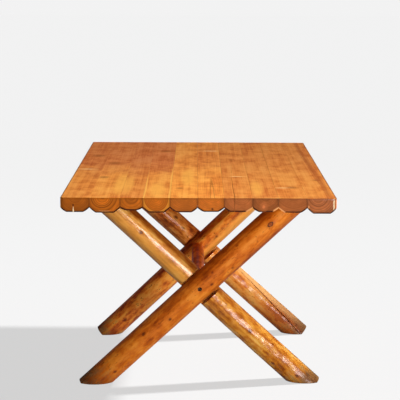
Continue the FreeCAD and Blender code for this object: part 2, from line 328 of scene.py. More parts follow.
LAG_BORE = 0.0041           # radius of the hole for a lag's shank
LAG_COUNTERBORE = 0.008     # radius of the hole that takes its head
CROSS_BORE_DEPTH = 0.014    # how deep the head sits at a crossing
LEG_LAG_SEAT = 0.619        # how high the head sits in a leg's top
LEG_LAG_OUTSET = 0.016      # from the leg's pith, away from the middle of the table
BIT_REACH = 0.2
BIT_LAP = 0.001             # how far a bit for the shank starts inside the counterbore


def lag_bores(leg, outer, centre):
    """The bits for a leg's two lag screws: one through the crossing, one up into the cleat."""
    outward = math.copysign(1, centre.y)
    face = abs(outer.y) + radius_at(outer, centre.z)
    seat = Vector((centre.x, outward * (face - CROSS_BORE_DEPTH), centre.z))
    upright = Vector((leg.top_x + math.copysign(LEG_LAG_OUTSET, leg.top_x), leg.y, LEG_LAG_SEAT))
    bits = [
        bit(seat + Vector((0, outward * BIT_LAP, 0)), (0, -outward, 0), LAG_BORE, BIT_REACH),
        bit(upright - Vector((0, 0, BIT_LAP)), (0, 0, 1), LAG_BORE, BIT_REACH),
        bit(upright, (0, 0, -1), LAG_COUNTERBORE, BIT_REACH),
    ]
    if leg is outer:
        bits.append(bit(seat, (0, outward, 0), LAG_COUNTERBORE, BIT_REACH / 2))
    return bits


def feed(made, inputs):
    """Gives a node its inputs by name or number, as values or as outputs of other nodes."""
    for place, value in inputs.items():
        if isinstance(value, bpy.types.NodeSocket):
            made.id_data.links.new(value, made.inputs[place])
        else:
            made.inputs[place].default_value = value


def node(tree, kind, inputs=None, **settings):
    """The outputs of a new shader node."""
    made = tree.nodes.new("ShaderNode" + kind)
    for setting, value in settings.items():
        setattr(made, setting, value)
    feed(made, inputs or {})
    return made.outputs


def tree_of(values):
    """The tree of the first output among some values."""
    return next(value.id_data for value in values if isinstance(value, bpy.types.NodeSocket))


def maths(operation, *values, clamp=False):
    """A sum or other operation on numbers."""
    inputs = dict(enumerate(values))
    return node(tree_of(values), "Math", inputs, operation=operation, use_clamp=clamp)[0]


def times(value, factor):
    """A product of two numbers."""
    return maths("MULTIPLY", value, factor)


def times_plus(value, factor, added):
    """A product of two numbers, with a third added."""
    return maths("MULTIPLY_ADD", value, factor, added)


def vectors(operation, *values):
    """An operation on vectors, or the length of one."""
    made = node(tree_of(values), "VectorMath", dict(enumerate(values)), operation=operation)
    return made["Value" if operation == "LENGTH" else "Vector"]


def split(vector):
    """The X, Y and Z of a vector."""
    return node(vector.id_data, "SeparateXYZ", {0: vector})


def ease(value, low, high, start=0.0, end=1.0):
    """A value that passes softly from start to end as the given one goes from low to high."""
    inputs = {"Value": value, "From Min": low, "From Max": high, "To Min": start, "To Max": end}
    return node(value.id_data, "MapRange", inputs, interpolation_type="SMOOTHSTEP")["Result"]


def cloud(place, stretch, detail=2.0, rough=0.5):
    """Noise over a place that is first stretched by a factor for each axis."""
    spread = vectors("MULTIPLY", place, stretch)
    inputs = {"Vector": spread, "Scale": 1.0, "Detail": detail, "Roughness": rough}
    return node(place.id_data, "TexNoise", inputs)["Fac"]


def blend(share, below, above, how="MIX"):
    """A mix of two colours."""
    tree = tree_of((share, below, above))
    return node(tree, "Mix", {0: share, 6: below, 7: above}, data_type="RGBA", blend_type=how)[2]


def tint(colour, over, share, strength):
    """A colour with another laid over it by a share of the given strength."""
    return blend(times(share, strength), colour, over)


def stain(red, green, blue):
    """A colour from the values that a screen shows, 0 to 255."""
    def linear(shown):
        share = shown / 255
        return share / 12.92 if share < 0.04045 else ((share + 0.055) / 1.055) ** 2.4
    return (linear(red), linear(green), linear(blue), 1.0)


def ramp(value, positions, colours):
    """A colour that follows a value along a band of colours at the given positions."""
    made = node(value.id_data, "ValToRGB", {"Fac": value})["Color"]
    band = made.node.color_ramp.elements
    while len(band) < len(positions):
        band.new(0.5)
    for stop, position, colour in zip(band, positions, colours):
        stop.position = position
        stop.color = colour
    return made


def new_group(name, places, numbers):
    """A shader node group with the named inputs: its tree, and what it is given."""
    tree = bpy.data.node_groups.new(name, "ShaderNodeTree")
    for kind, labels in (("NodeSocketVector", places), ("NodeSocketFloat", numbers)):
        for label in labels:
            tree.interface.new_socket(label, in_out="INPUT", socket_type=kind)
    return tree, tree.nodes.new("NodeGroupInput").outputs


def end_group(tree, results):
    """Hands the results of a node group out by name."""
    end = tree.nodes.new("NodeGroupOutput")
    for label, value in results.items():
        tree.interface.new_socket(label, in_out="OUTPUT", socket_type="NodeSocketFloat")
        tree.links.new(value, end.inputs[label])
    return tree


def log_grain_group():
    """The figure of a softwood log: growth rings round its pith, and streaks and fibres along it."""
    tree, given = new_group("log grain", ["Place"], ["Seed", "Ring Width", "Wander"])
    place, seed, ring_width, wander = given[:4]
    shift = node(tree, "VectorMath", {0: (1.7, 2.3, 3.1), "Scale": seed}, operation="SCALE")
    seeded = vectors("ADD", place, shift["Vector"])
    sway = maths("SUBTRACT", cloud(seeded, (7.0, 7.0, 1.6)), 0.5)
    across = vectors("LENGTH", vectors("MULTIPLY", place, (1.0, 1.0, 0.0)))
    reach = times_plus(sway, times(wander, 4.0), across)
    years = maths("DIVIDE", reach, ring_width)
    uneven = {"W": maths("ADD", times(years, 0.33), seed), "Scale": 1.0, "Detail": 1.0}
    lean = node(tree, "TexNoise", uneven, noise_dimensions="1D")["Fac"]
    season = maths("FRACT", times_plus(lean, 2.0, years))
    return end_group(tree, {
        "Rings": times(ease(season, 0.25, 0.86), ease(season, 1.0, 0.9)),
        "Bands": ease(lean, 0.32, 0.68),
        "Streak": ease(cloud(seeded, (46.0, 46.0, 1.9), 4.0, 0.6), 0.3, 0.7),
        "Fibre": cloud(seeded, (420.0, 420.0, 12.0), 3.0, 0.6),
        "Blotch": ease(cloud(seeded, (14.0, 14.0, 9.0), 3.0, 0.55), 0.32, 0.68),
        "Mottle": ease(cloud(seeded, (60.0, 60.0, 26.0), 3.0, 0.6), 0.32, 0.68),
        "Fleck": ease(cloud(seeded, (135.0, 135.0, 52.0), 2.0, 0.6), 0.62, 0.70),
        "Dimple": cloud(seeded, (44.0, 44.0, 52.0), 1.0),
        "Radius": reach,
    })


def knot_group():
    """A knot on the skin of a log: a dark heart, a ring of darker grain, and a red halo."""
    tree, given = new_group("knot", ["Place", "Middle", "Squeeze"], ["Size"])
    place, middle, squeeze, size = given[:4]
    apart = vectors("MULTIPLY", vectors("SUBTRACT", place, middle), squeeze)
    ragged = times_plus(cloud(place, (150.0, 150.0, 110.0)), 0.7, 0.65)
    far = maths("DIVIDE", times(vectors("LENGTH", apart), ragged), size)
    return end_group(tree, {
        "Heart": ease(far, 0.75, 0.4),
        "Ring": times(ease(far, 0.55, 0.8), ease(far, 1.15, 0.85)),
        "Halo": ease(far, 2.3, 0.9),
    })


LOG_GRAIN = log_grain_group()
KNOT = knot_group()


def grow(place, seed, ring_width, wander):
    """The outputs of the log grain in a material."""
    log = {"Place": place, "Seed": seed, "Ring Width": ring_width, "Wander": wander}
    return node(place.id_data, "Group", log, node_tree=LOG_GRAIN)


def weigh(grain, **shares):
    """A sum of some outputs of the grain, each by its share."""
    total = 0.0
    for name, share in shares.items():
        total = times_plus(grain[name], share, total)
    return total


# A kind of mark gives each part's colour with its strength, and how a mark is squeezed along each axis.
MarkKind = namedtuple("MarkKind", "heart ring halo squeeze", defaults=(None, None, None, (1.0, 1.0, 0.75)))
Mark = namedtuple("Mark", "middle size kind squeeze", defaults=(None,))


def add_marks(colour, place, marks):
    """The colour with knots and other marks laid into it."""
    for mark in marks:
        kind = mark.kind
        squeeze = mark.squeeze or kind.squeeze
        knot = {"Place": place, "Middle": mark.middle, "Size": mark.size, "Squeeze": squeeze}
        parts = node(place.id_data, "Group", knot, node_tree=KNOT)
        for name, layer in (("Halo", kind.halo), ("Ring", kind.ring), ("Heart", kind.heart)):
            if layer:
                colour = tint(colour, layer[0], parts[name], layer[1])
    return colour


def new_finish(name, roughness, specular, haze=0.1):
    """A material that can take a coat of varnish, with the coat's haze: itself, its tree and its shader."""
    material = bpy.data.materials.new(name)
    material.use_nodes = True
    shader = material.node_tree.nodes["Principled BSDF"]
    feed(shader, {"Roughness": roughness, "Specular IOR Level": specular, "Coat Roughness": haze})
    return material, material.node_tree, shader


def on_log(tree, place):
    """Where a point lies in a log's own place, and which way its skin faces there."""
    where = node(tree, "TexCoord")
    turn = place.to_euler()
    pith = {"Vector": where["Object"], "Location": place.translation, "Rotation": turn}
    skin = {"Vector": where["Normal"], "Rotation": turn}
    return [node(tree, "Mapping", inputs, vector_type="TEXTURE")[0] for inputs in (pith, skin)]


def relief(height, depth, strength):
    """A fine relief, as the way that a surface faces."""
    return node(height.id_data, "Bump", {"Height": height, "Distance": depth, "Strength": strength})["Normal"]


# After a pole's colours: dark flecks, how far the drawknife's hollows show, the strength of the painted shade
# on each side, how patchy it is, the painted shade towards the foot, and the weight and the haze of its coat
# of varnish.
PoleTone = namedtuple(
    "PoleTone", "light amber brown deep fleck worked left_bark right_bark patchy grime gloss haze",
    defaults=(0.0, 0.0, 0.0, 0.0, 0.9, 0.16))
POLE_TONES = {
    "front_left_leg": PoleTone(
        stain(240, 146, 44), stain(222, 120, 26), stain(196, 94, 14), stain(138, 56, 8),
        fleck=0.5, worked=0.4, left_bark=0.72, right_bark=0.5, gloss=0.5),
    "front_right_leg": PoleTone(
        stain(248, 190, 92), stain(232, 158, 56), stain(202, 117, 28), stain(142, 68, 14),
        fleck=0.5, worked=0.9, left_bark=0.45, right_bark=1.0, patchy=0.12, grime=0.14, gloss=1.0, haze=0.22),
    "rear_left_leg": PoleTone(
        stain(252, 172, 68), stain(241, 139, 42), stain(210, 100, 26), stain(150, 58, 15),
        fleck=0.85, worked=0.4, left_bark=1.6, right_bark=0.2, patchy=0.32, gloss=0.7),
    "rear_right_leg": PoleTone(
        stain(254, 182, 88), stain(240, 150, 60), stain(206, 106, 32), stain(132, 60, 18),
        fleck=0.6, worked=0.9, left_bark=0.75, right_bark=0.25, patchy=0.2, grime=0.6, gloss=0.42),
}
PAINTED_SIDE_SHADE = (0.44, 0.33, 0.26, 1.0)    # painted shade: what a pole's sides let through of a colour
LENGTHWISE = (1.0, 1.0, 0.1)
# Painted light: pale strips that brighten some legs where the light falls strongest.
WARM_PAINTED_LIGHT = MarkKind(halo=(stain(254, 176, 72), 0.62), squeeze=LENGTHWISE)
PALE_PAINTED_LIGHT = MarkKind(halo=(stain(255, 202, 132), 0.75), squeeze=LENGTHWISE)
PAINTED_LIGHT_STRIPS = {   # how far along the leg, the turn round it, the size and the kind
    "front_right_leg": [(0.80, -118, 0.017, WARM_PAINTED_LIGHT)],
    "rear_left_leg": [(0.74, -45, 0.017, WARM_PAINTED_LIGHT), (0.91, -20, 0.010, PALE_PAINTED_LIGHT)],
    "rear_right_leg": [(0.17, -20, 0.017, PALE_PAINTED_LIGHT)],
}
EYE_SIZE = 0.0075       # of a knot with a pale eye
PIN_SIZE = 0.0041       # of a small dark knot
KNOT_EYE = MarkKind((stain(136, 56, 12), 0.85), (stain(52, 18, 5), 1.0), (stain(164, 64, 10), 0.45))
PIN_KNOT = MarkKind((stain(54, 22, 10), 0.8), (stain(72, 26, 8), 0.75), (stain(164, 64, 10), 0.45))
FAINT_KNOT = MarkKind((stain(72, 30, 10), 0.6), (stain(96, 38, 10), 0.5), (stain(164, 64, 10), 0.35))
SCUFFED_TOE = stain(128, 92, 60)
SOILED_TOE = stain(70, 46, 28)
FOOT_WEAR = 0.85


def pole_finish(name, log, tones, seed, marks=(), worn=0.0):
    """Amber varnish on a peeled pole, mottled and flecked, with painted shade on its sides and towards its
    foot, and scuffed at the foot.
    """
    material, tree, shader = new_finish(name, roughness=0.5, specular=0.05, haze=tones.haze)
    place, skin = on_log(tree, log)
    height = split(place)["Z"]
    facing = split(skin)
    grain = grow(place, seed, ring_width=0.0034, wander=0.010)
    tone = weigh(grain, Streak=0.30, Mottle=0.34, Blotch=0.36)
    tone = times_plus(maths("SUBTRACT", tone, 0.5), 1 / (1 - tones.patchy), 0.5)
    colour = ramp(tone, (0.14, 0.42, 0.66, 0.95), tones[:4])
    colour = tint(colour, tones.brown, ease(grain["Fibre"], 0.35, 0.65), 0.14)
    colour = tint(colour, tones.deep, grain["Fleck"], tones.fleck)
    colour = add_marks(colour, place, marks)
    # Painted shade: the pole's two sides across its frame are darkened, the more so higher up under the top.
    shade_by_height = ease(height, 0.15, 0.65, 0.05, 1.12)
    for sign, edging in ((-1, tones.left_bark), (1, tones.right_bark)):
        side = times_plus(facing["X"], sign, times(grain["Streak"], 0.16))
        shade_share = ease(side, 0.5 - 0.16 * edging, 1.0, 0.0, edging)
        side_shaded = blend(1.0, colour, PAINTED_SIDE_SHADE, "MULTIPLY")
        colour = tint(colour, side_shaded, shade_share, shade_by_height)
    sawn = ease(maths("ABSOLUTE", facing["Z"]), 0.55, 0.7)
    end_grain = blend(grain["Rings"], tones.brown, tones.deep)
    colour = tint(colour, end_grain, sawn, 0.8)
    ragged = times_plus(grain["Mottle"], 0.05, height)
    # Painted shade: darker towards the foot, by each leg's own amount.
    colour = blend(ease(ragged, 0.36, 0.05, 0.0, tones.grime), colour, tones.deep)
    foot = times(ease(ragged, 0.105, 0.01), worn)
    colour = blend(foot, colour, blend(grain["Mottle"], SCUFFED_TOE, SOILED_TOE))
    coat = ease(grain["Mottle"], 0.2, 1.0, tones.gloss, 0.65 * tones.gloss)
    coat = times(coat, times_plus(foot, -0.85, 1.0))
    hollows = ease(grain["Dimple"], 0.6, 0.4, 0.25, tones.worked)
    hollows = times(hollows, ease(height, 0.75, 0.5))
    coat = times(coat, maths("SUBTRACT", 1.0, hollows))
    dimpled = relief(grain["Dimple"], 0.0006, tones.worked)
    feed(shader, {"Base Color": colour, "Coat Weight": coat, "Normal": dimpled})
    return material


CHECK_WIDTH = 0.0045
CHECK_DEPTH = 0.020
CHECK_SINK = 0.0004     # how far its path lies under the nominal skin
CHECK_POINTS = 60
CHECK_ALONG = (-0.03, 0.088, 0.163, 0.254, 0.42)
CHECK_TURNS = (-82, -66, -58, -48, -29)     # degrees


def leg_check(leg):
    """The cutter for a long drying check that winds along a leg's skin."""
    along = np.linspace(CHECK_ALONG[0], CHECK_ALONG[-1], CHECK_POINTS)
    fade = np.sqrt(np.sin(np.linspace(0.02, 0.98, CHECK_POINTS) * math.pi))
    turn = np.radians(np.interp(along, CHECK_ALONG, CHECK_TURNS)) + 0.015 * ripple(leg.seed, 70 * along)
    outward = np.stack([np.cos(turn), np.sin(turn), np.zeros_like(turn)], axis=-1)
    path = outward * (leg_radius(leg, along)[:, None] - CHECK_SINK)
    path[:, 2] = along
    return wedge(path, outward, CHECK_WIDTH * fade, CHECK_DEPTH * fade, leg_place(leg))


def on_skin(leg, along, degrees):
    """The point on a leg's skin, in its own place, at a distance along it and a turn round it."""
    radius = leg_radius(leg, along)
    turn = math.radians(degrees)
    return radius * math.cos(turn), radius * math.sin(turn), along


for outer, inner in (FRONT_FRAME, REAR_FRAME):
    centre = crossing(outer, inner)
    for leg, partner in ((outer, inner), (inner, outer)):
        pole = build_leg(leg)
        cutters = [lap_cutter(leg, partner, centre)] + lag_bores(leg, outer, centre)
        if leg is REAR_RIGHT:
            cutters.append(leg_check(leg))
        carve(pole, cutters)
        marks = []
        # The painted light strips, then the knots.
        for along, turn, *strip in PAINTED_LIGHT_STRIPS.get(leg.node, ()):
            marks.append(Mark(on_skin(leg, along, turn), *strip))
        for knot in leg.knots:
            kind = KNOT_EYE if knot.size > EYE_SIZE else PIN_KNOT if knot.size > PIN_SIZE else FAINT_KNOT
            marks.append(Mark(on_skin(leg, knot.along, knot.turn), knot.size, kind))
        name = leg.node + "_varnish"
        finish = pole_finish(name, leg_place(leg), POLE_TONES[leg.node], leg.seed, marks, FOOT_WEAR)
        fit_piece(pole, finish, leg.node)


# The stretcher is a thinner peeled pole from crossing to crossing. Its ends are scribed round the inner
# legs, and the lag screw of each crossing runs on into its end grain.
STRETCHER_FRONT_RADIUS = 0.025
STRETCHER_REAR_RADIUS = 0.024
STRETCHER_SHIFT = -0.008    # from the crossings to the pith
SCRIBE_GAP = 0.0003         # between its scribed ends and the legs
STRETCHER_COLUMNS = 72
STRETCHER_SEED = 21


def scribe(leg, foot, along, offsets):
    """How far along a line from foot each offset line of the stretcher meets a leg's round skin."""
    place = leg_place(leg)
    pith = np.array(place.translation)
    up = np.array(place.col[2].to_3d())
    origin = foot + offsets - pith
    origin = origin - np.outer(origin @ up, up)
    aim = along - up * (along @ up)
    middle = np.array(crossing(*(FRONT_FRAME if leg is FRONT_RIGHT else REAR_FRAME)))
    radius = radius_at(leg, middle[2]) + SCRIBE_GAP
    half_b = origin @ aim
    rest = np.sum(origin**2, axis=1) - radius**2
    root = np.sqrt(np.maximum(half_b**2 - (aim @ aim) * rest, 0))
    inner_side = 1 if leg is FRONT_RIGHT else -1
    return (-half_b + inner_side * root) / (aim @ aim)


def stretcher_end(outer, inner):
    """Where the stretcher's pith comes to the plane of a frame's inner leg."""
    centre = crossing(outer, inner)
    return np.array((centre.x + STRETCHER_SHIFT, inner.y, centre.z))


front_end = stretcher_end(*FRONT_FRAME)
rear_end = stretcher_end(*REAR_FRAME)
stretcher_length = np.linalg.norm(rear_end - front_end)
stretcher_aim = (rear_end - front_end) / stretcher_length
stretcher_place = log_place(front_end, stretcher_aim, (1, 0, 0))
turn = around(STRETCHER_COLUMNS)
axis_x = np.array(stretcher_place.col[0].to_3d())
axis_y = np.array(stretcher_place.col[1].to_3d())
rim = np.outer(np.cos(turn), axis_x) + np.outer(np.sin(turn), axis_y)
start = scribe(FRONT_RIGHT, front_end, stretcher_aim, rim * STRETCHER_FRONT_RADIUS)
end = scribe(REAR_LEFT, front_end, stretcher_aim, rim * STRETCHER_REAR_RADIUS)


def stretcher_radius(along):
    """The stretcher's nominal radius at a distance along it."""
    share = along / stretcher_length
    return STRETCHER_FRONT_RADIUS + (STRETCHER_REAR_RADIUS - STRETCHER_FRONT_RADIUS) * share


rings = pole_rings(start, end, turn, stretcher_radius, STRETCHER_SEED, bow=0.0006, deepest=0.0007)
points = rings.reshape(-1, 3).tolist()
faces = tube_faces(len(rings), STRETCHER_COLUMNS)
last = (len(rings) - 1) * STRETCHER_COLUMNS
for leg in (FRONT_RIGHT, REAR_LEFT):
    points.append((0, 0, float(scribe(leg, front_end, stretcher_aim, np.zeros((1, 3)))[0])))
for column in range(STRETCHER_COLUMNS):
    after = (column + 1) % STRETCHER_COLUMNS
    faces.append([len(points) - 2, after, column])
    faces.append([len(points) - 1, last + column, last + after])
stretcher = make_piece("stretcher_pole", points, faces, stretcher_place)
STRETCHER_TONE = PoleTone(
    stain(246, 136, 44), stain(220, 106, 26), stain(182, 80, 15), stain(124, 50, 8),
    fleck=0.4, worked=0.15, gloss=0.2)
stretcher_varnish = pole_finish("stretcher_varnish", stretcher_place, STRETCHER_TONE, STRETCHER_SEED)
fit_piece(stretcher, stretcher_varnish, "stretcher")


# The lag screws are zinc-plated steel, gone dull brown under the varnish. One goes through each crossing
# into the stretcher, and one goes up through the top of each leg into its cleat.
def plated_steel(name, bright, dull, roughness):
    """Plated steel with dull patches."""
    material, tree, shader = new_finish(name, roughness, specular=0.5)
    where = node(tree, "TexCoord")["Object"]
    patch = ease(cloud(where, (160.0, 160.0, 160.0), 4.0, 0.6), 0.35, 0.65)
    feed(shader, {"Base Color": blend(patch, bright, dull), "Metallic": 1.0,
                  "Roughness": times_plus(patch, 0.25, roughness)})
    return material


def refinish(name, material):
    """Puts a material on a node that keeps its own shape."""
    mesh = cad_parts[name].data
    mesh.materials.clear()
    mesh.materials.append(material)


lag_steel = plated_steel("lag_steel", stain(92, 68, 48), stain(44, 28, 18), 0.5)
for name in ("front_crossing_lag", "rear_crossing_lag", "leg_lags"):
    refinish(name, lag_steel)


# The cleats are two half logs across the underside, flat side up in seats cut into every slat. Each
# stands on the two legs of its frame, and its screws go up into the slats from deep counterbores.
CLEAT_TOP = 0.705
CLEAT_HALF_LENGTH = 0.432
CLEAT_HALF_WIDTH = 0.048
CLEAT_EDGE = 0.033          # the thickness left at a cleat's long edges
CLEAT_CROWN = 0.017         # how much thicker it is in its middle
CLEAT_BEVEL = 0.018         # along its lower ends
CLEAT_ROUGHNESS = 0.0004
CLEAT_PITH = 0.004          # how far its log's pith lies above the sawn side
CLEAT_SEED = 31
SHOULDER = 0.021            # the width of the round at a half log's long edges
SHOULDER_BULGE = 0.0016     # how far it stands out of a straight bevel
SCREW_BORE = 0.00575        # radius of the counterbores
SCREW_BORE_DEPTH = 0.012
SCREW_SPREAD = 0.016        # from a cleat's middle to its two rows of screws
HALF_WIDTH = 0.457
SLAT_WIDTHS = [0.0970, 0.1010, 0.0750, 0.0900, 0.0910, 0.0880, 0.0940, 0.0850, 0.0950, 0.0980]
SEAMS = [-HALF_WIDTH]
for width in SLAT_WIDTHS:
    SEAMS.append(SEAMS[-1] + width)


def underside(offset, half_width, edge, crown):
    """How far a half log's round underside lies below its sawn face, at an offset from its middle."""
    into = np.clip((half_width - np.abs(offset)) / SHOULDER, 0, 1)
    bulge = 4 * SHOULDER_BULGE * into * (1 - into)
    return edge + crown * into + bulge


def clad(top, bottom, steps):
    """The points and faces of a log between two grids, with walls of the given steps on all four sides."""
    rows, columns = top.shape[:2]
    index = np.arange(rows * columns).reshape(rows, columns)
    points = [top.reshape(-1, 3), bottom.reshape(-1, 3)]
    low = index + rows * columns
    faces = [np.stack([g[:-1, :-1], g[1:, :-1], g[1:, 1:], g[:-1, 1:]], axis=-1).reshape(-1, 4)
             for g in (index, low[:, ::-1])]
    border = [(r, 0) for r in range(rows)] + [(rows - 1, c) for c in range(1, columns)]
    border += [(r, columns - 1) for r in range(rows - 2, -1, -1)]
    border += [(0, c) for c in range(columns - 2, 0, -1)]
    r, c = np.array(border).T
    walls = [index[r, c]]
    count = 2 * rows * columns
    for step in range(1, steps):
        share = step / steps
        points.append(top[r, c] * (1 - share) + bottom[r, c] * share)
        walls.append(count + np.arange(len(r)))
        count += len(r)
    walls.append(low[r, c])
    for upper, lower in zip(walls, walls[1:]):
        faces.append(np.stack([upper, np.roll(upper, -1), np.roll(lower, -1), lower], axis=-1))
    return np.concatenate(points), np.concatenate(faces)[:, ::-1].tolist()


def spaced(low, high, step, close):
    """Even steps from low to high, with extra lines close to both ends."""
    close = np.array(close)
    inside = np.linspace(low, high, int((high - low) / step) + 2)[1:-1]
    reach = close.max()
    inside = inside[(inside > low + reach + step / 3) & (inside < high - reach - step / 3)]
    return np.concatenate([low + close, inside, high - close[::-1]])


CLEAT_LINES = (0, 0.0005, 0.0012, 0.0022, 0.0040, 0.0080, 0.0130, 0.0180, 0.0210)
CLEAT_TONE = PoleTone(
    stain(228, 150, 66), stain(204, 120, 42), stain(168, 86, 24), stain(112, 52, 14), fleck=0.4, worked=0.5)
for name, y in (("front_cleat", -CROSS_PLANE), ("rear_cleat", CROSS_PLANE)):
    x, v = np.meshgrid(
        spaced(-CLEAT_HALF_LENGTH, CLEAT_HALF_LENGTH, step=0.009, close=CLEAT_LINES),
        spaced(-CLEAT_HALF_WIDTH, CLEAT_HALF_WIDTH, step=0.006, close=CLEAT_LINES),
        indexing="ij",
    )
    top = np.stack([x, y + v, np.full_like(x, CLEAT_TOP)], axis=-1)
    depth = underside(v, CLEAT_HALF_WIDTH, CLEAT_EDGE, CLEAT_CROWN)
    full = CLEAT_EDGE + CLEAT_CROWN
    bevelled = full - CLEAT_BEVEL + (CLEAT_HALF_LENGTH - np.abs(x))
    on_flat = np.abs(v) < CLEAT_HALF_WIDTH - SHOULDER
    rough = CLEAT_ROUGHNESS * ripple(CLEAT_SEED, 40 * x, 160 * v)
    depth = np.minimum(depth + np.where(on_flat, 0, rough), bevelled)
    bottom = np.stack([x, y + v, CLEAT_TOP - depth], axis=-1)
    cleat = make_piece(name + "_log", *clad(top, bottom, steps=6))
    bores = []
    for left, right in zip(SEAMS, SEAMS[1:]):
        for side in (-1, 1):
            head = Vector(((left + right) / 2, y + side * SCREW_SPREAD, LEG_TOP + SCREW_BORE_DEPTH))
            bores.append(bit(head, (0, 0, -1), SCREW_BORE, BIT_REACH / 4, sides=28))
    carve(cleat, bores)
    place = log_place((0, y, CLEAT_TOP + CLEAT_PITH), (1, 0, 0), (0, 1, 0))
    finish = pole_finish(name + "_varnish", place, CLEAT_TONE, CLEAT_SEED + y)
    fit_piece(cleat, finish, name)


# The top is ten half logs laid side by side, sawn face up, planed flush and varnished. Their round
# undersides show as scallops along both ends, where the saw left growth rings and drying checks.
TABLE_TOP = 0.743
HALF_LENGTH = 0.762
SLAT_EDGE = 0.034           # the thickness left at a slat's long edges
CORNER_RADIUS = 0.012       # of the top's four corners, seen from above
CORNER_REACH = 0.03         # how far from the end a corner is shaped
OUTER_ARRIS = 0.003         # the eased edges round the top
SEAM_ARRIS = 0.0008
SEAM_GAP = 0.0002
SEAT_PLAY = 0.0003          # on each side of a cleat
SEAT_HALF_WIDTH = CLEAT_HALF_WIDTH + SEAT_PLAY
SEAT_WALL = 0.00002         # half the run of a seat's steep side
SEAT_CLEAR = 0.002          # the least distance from that side to other lines of points
PLANED_OFF = 0.0002         # from the full height of the top
PLANE_MARKS = 0.00016       # how deep the plane's unevenness is
UNEVEN = 0.0007             # how much the round underside is out of true
SLAT_SEED = 40
Slat = namedtuple(
    "Slat", "crown pith lift ring figure tone russet behind end blush sap sap_face", defaults=(0.2, 0))
# pith: across and up from the middle of the face; figure: how clear the rings are; russet, behind: how red
# the front and the rear half are; end: how light the ends are; blush: their pink, partly painted sheen; sap:
# where sapwood starts
SLATS = [
    Slat(0.0150, (0.000, 0.004), 0.0000, 0.0062, 0.60, 0.98, 0.25, 0.90, 0.96, 0.00),
    Slat(0.0170, (-0.006, 0.000), -0.0001, 0.0085, 1.00, 1.00, 0.15, 0.95, 1.38, 0.00),
    Slat(0.0090, (0.000, 0.002), 0.0000, 0.0080, 0.90, 0.99, 0.35, 1.05, 1.24, 0.00),
    Slat(0.0160, (-0.001, -0.004), -0.0002, 0.0070, 0.60, 1.02, 0.12, 1.00, 1.24, 0.05, 0.0395, 0.7),
    Slat(0.0150, (0.004, 0.012), 0.0000, 0.0060, 0.45, 1.06, 0.00, 0.30, 1.12, 0.20),
    Slat(0.0130, (0.006, 0.016), -0.0001, 0.0060, 0.40, 1.06, 0.00, 0.42, 1.30, 0.20),
    Slat(0.0130, (0.010, 0.012), 0.0000, 0.0056, 0.45, 1.00, 0.40, 0.48, 1.06, 0.75),
    Slat(0.0130, (0.000, 0.006), -0.0002, 0.0060, 0.60, 0.99, 0.42, 0.52, 0.82, 0.70),
    Slat(0.0150, (0.004, 0.030), 0.0000, 0.0056, 0.50, 0.99, 0.32, 0.52, 1.00, 0.75),
    Slat(0.0180, (-0.014, 0.004), -0.0001, 0.0085, 1.00, 0.99, 0.32, 0.52, 1.16, 0.85),
]
LAST_SLAT = len(SLATS) - 1
SLAT_LINES = (0, 0.0002, 0.0005, 0.0010, 0.0018, 0.0030, 0.0050, 0.0080, 0.0120, 0.0160, 0.0210)


def rounded_off(inside, radius):
    """How far a quarter round takes a face back, at a distance inside its edge."""
    return radius * (1 - np.sqrt(1 - np.clip(1 - inside / radius, 0, 1) ** 2))


def slat_skin(number, left, right, slat):
    """A slat's points and faces in the table's own place."""
    lines = spaced(left + SEAM_GAP / 2, right - SEAM_GAP / 2, step=0.006, close=SLAT_LINES)
    rows = spaced(-HALF_LENGTH, HALF_LENGTH, step=0.0095, close=SLAT_LINES)
    for seat in (-CROSS_PLANE, CROSS_PLANE):
        for edge in (seat - SEAT_HALF_WIDTH, seat + SEAT_HALF_WIDTH):
            rows = rows[np.abs(rows - edge) > SEAT_CLEAR]
            rows = np.sort(np.append(rows, (edge - SEAT_WALL, edge + SEAT_WALL)))
    x, v = np.meshgrid(lines, rows, indexing="ij")
    y = v
    to_end = HALF_LENGTH - np.abs(v)
    drop = rounded_off(to_end, OUTER_ARRIS)
    for inside, outer in ((x - lines[0], number == 0), (lines[-1] - x, number == LAST_SLAT)):
        drop = np.maximum(drop, rounded_off(inside, OUTER_ARRIS if outer else SEAM_ARRIS))
        if outer:
            shaped = np.clip(1 - to_end / CORNER_REACH, 0, 1)
            y = y - np.sign(v) * rounded_off(inside, CORNER_RADIUS) * shaped
    planed = PLANE_MARKS * ripple(number + 70, 45 * x, 9 * v)
    top = np.stack([x, y, TABLE_TOP - PLANED_OFF + slat.lift + planed - drop], axis=-1)
    offset = x - (left + right) / 2
    half_width = (right - left) / 2
    depth = underside(offset, half_width, SLAT_EDGE, slat.crown)
    round_part = np.clip((np.abs(offset) - half_width + SHOULDER) / 0.004, 0, 1)
    trued = np.clip(to_end / 0.01, 0.3, 1)
    depth = depth + UNEVEN * round_part * ripple(number + 80, 60 * x, 14 * v) * trued
    seated = np.abs(np.abs(v) - CROSS_PLANE) < SEAT_HALF_WIDTH
    depth = np.where(seated, np.minimum(depth, TABLE_TOP - CLEAT_TOP), depth)
    bottom = np.stack([x, y, TABLE_TOP - depth], axis=-1)
    return clad(top, bottom, steps=9)


CRACKED_SLAT = 6
CRACK_RUN = (-0.78, 0.2)    # from before the front end
CRACK_X = 0.119
CRACK_POINTS = 50


def face_crack():
    """The cutter for the drying check that runs back from one slat's front end, along its face."""
    y = np.linspace(*CRACK_RUN, CRACK_POINTS)
    x = CRACK_X + 0.0010 * ripple(90, 30 * y) + 0.010 * np.clip((y + 0.3) / 0.5, 0, 1)
    share = (y - y[0]) / (y[-1] - y[0])
    path = np.stack([x, y, np.full_like(y, TABLE_TOP)], axis=-1)
    width = 0.0006 + 0.0020 * (1 - share) ** 4
    depth = 0.07 - 0.066 * share**0.3
    return wedge(path, np.tile((0, 0, 1), (CRACK_POINTS, 1)), width, depth)


